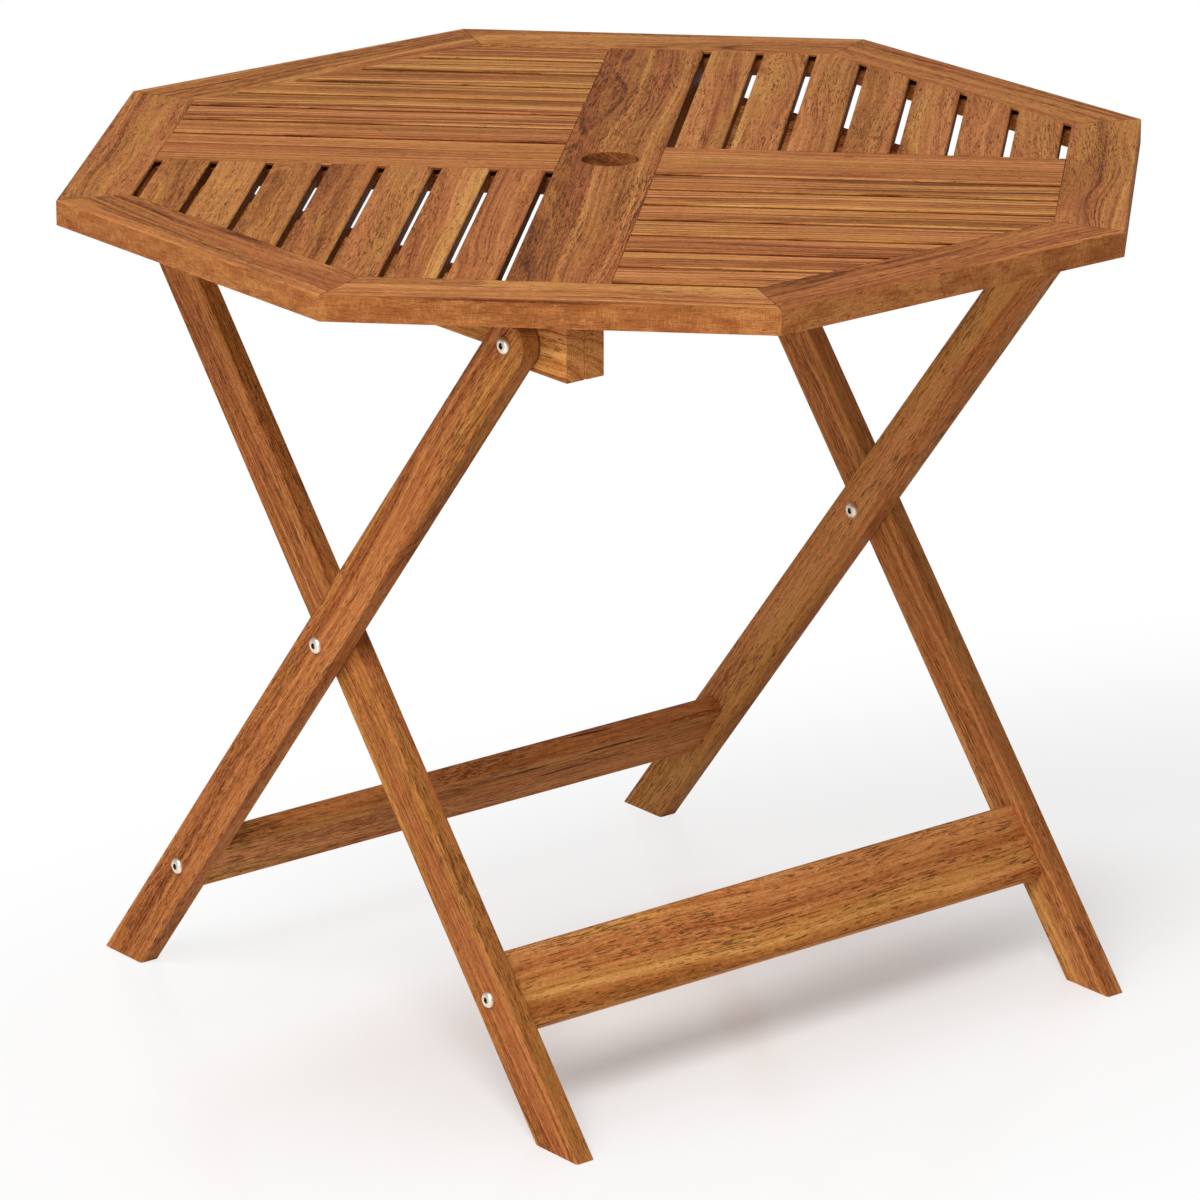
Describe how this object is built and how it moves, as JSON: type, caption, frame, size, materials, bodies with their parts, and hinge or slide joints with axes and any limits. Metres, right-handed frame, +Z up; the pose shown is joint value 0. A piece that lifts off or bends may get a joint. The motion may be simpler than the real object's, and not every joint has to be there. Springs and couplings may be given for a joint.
{
  "type": "umbrella table",
  "caption": "Octagonal slatted hardwood garden table with an umbrella hole, on a folding scissor leg frame under two beams.",
  "frame": {"origin": "on the floor, straight below the centre of the umbrella hole", "axes": "+Z up; +X along the two stretchers to the right as seen from the front feet; +Y from the feet of leg frame B to the feet of leg frame A"},
  "size_m": [0.9, 0.9, 0.75],
  "materials": {
    "top_frame": "oiled hardwood, medium reddish brown",
    "slats": "oiled hardwood, golden to reddish brown, eased edges",
    "beams": "oiled hardwood, sawn smooth",
    "legs": "oiled hardwood, rounded edges",
    "fasteners": "pale nickel plate, satin"
  },
  "bodies": {
    "leg_frame_a": {"leg_a_left": "legs", "leg_a_right": "legs", "stretcher_a": "legs", "stretcher_bolts_a": "fasteners", "crossing_bolts": "fasteners", "crossing_nuts": "fasteners", "crossing_washers": "fasteners"},
    "leg_frame_b": {"leg_b_left": "legs", "leg_b_right": "legs", "stretcher_b": "legs", "stretcher_bolts_b": "fasteners", "rest_pins": "fasteners"},
    "top": {"frame_board_front": "top_frame", "frame_board_front_left": "top_frame", "frame_board_left": "top_frame", "frame_board_back_left": "top_frame", "frame_board_back": "top_frame", "frame_board_back_right": "top_frame", "frame_board_right": "top_frame", "frame_board_front_right": "top_frame", "centre_board": "slats", "cross_rail_left": "slats", "cross_rail_right": "slats", "slat_front_left_1": "slats", "slat_front_left_2": "slats", "slat_front_left_3": "slats", "slat_front_left_4": "slats", "slat_front_left_5": "slats", "slat_front_left_6": "slats", "slat_front_left_7": "slats", "slat_back_right_1": "slats", "slat_back_right_2": "slats", "slat_back_right_3": "slats", "slat_back_right_4": "slats", "slat_back_right_5": "slats", "slat_back_right_6": "slats", "slat_back_right_7": "slats", "slat_back_left_1": "slats", "slat_back_left_2": "slats", "slat_back_left_3": "slats", "slat_back_left_4": "slats", "slat_back_left_5": "slats", "slat_back_left_6": "slats", "slat_back_left_7": "slats", "slat_front_right_1": "slats", "slat_front_right_2": "slats", "slat_front_right_3": "slats", "slat_front_right_4": "slats", "slat_front_right_5": "slats", "slat_front_right_6": "slats", "slat_front_right_7": "slats", "beam_left": "beams", "beam_right": "beams", "pivot_block": "beams", "stop_block_left": "beams", "stop_block_right": "beams", "pivot_bolts": "fasteners", "pivot_nuts": "fasteners", "pivot_washers": "fasteners"}
  },
  "joints": [
    {"name": "scissor", "type": "hinge", "parent": "leg_frame_a", "child": "leg_frame_b", "pos_m": [0, 0, 0.37524], "axis": [1, 0, 0], "range_deg": [0, 65]},
    {"name": "top_tilt", "type": "hinge", "parent": "leg_frame_a", "child": "top", "pos_m": [0, -0.2629, 0.702], "axis": [1, 0, 0], "range_deg": [0, 32.5]}
  ],
  "couplings": [
    {"joint": "top_tilt", "follows": "scissor", "ratio": 0.5}
  ]
}
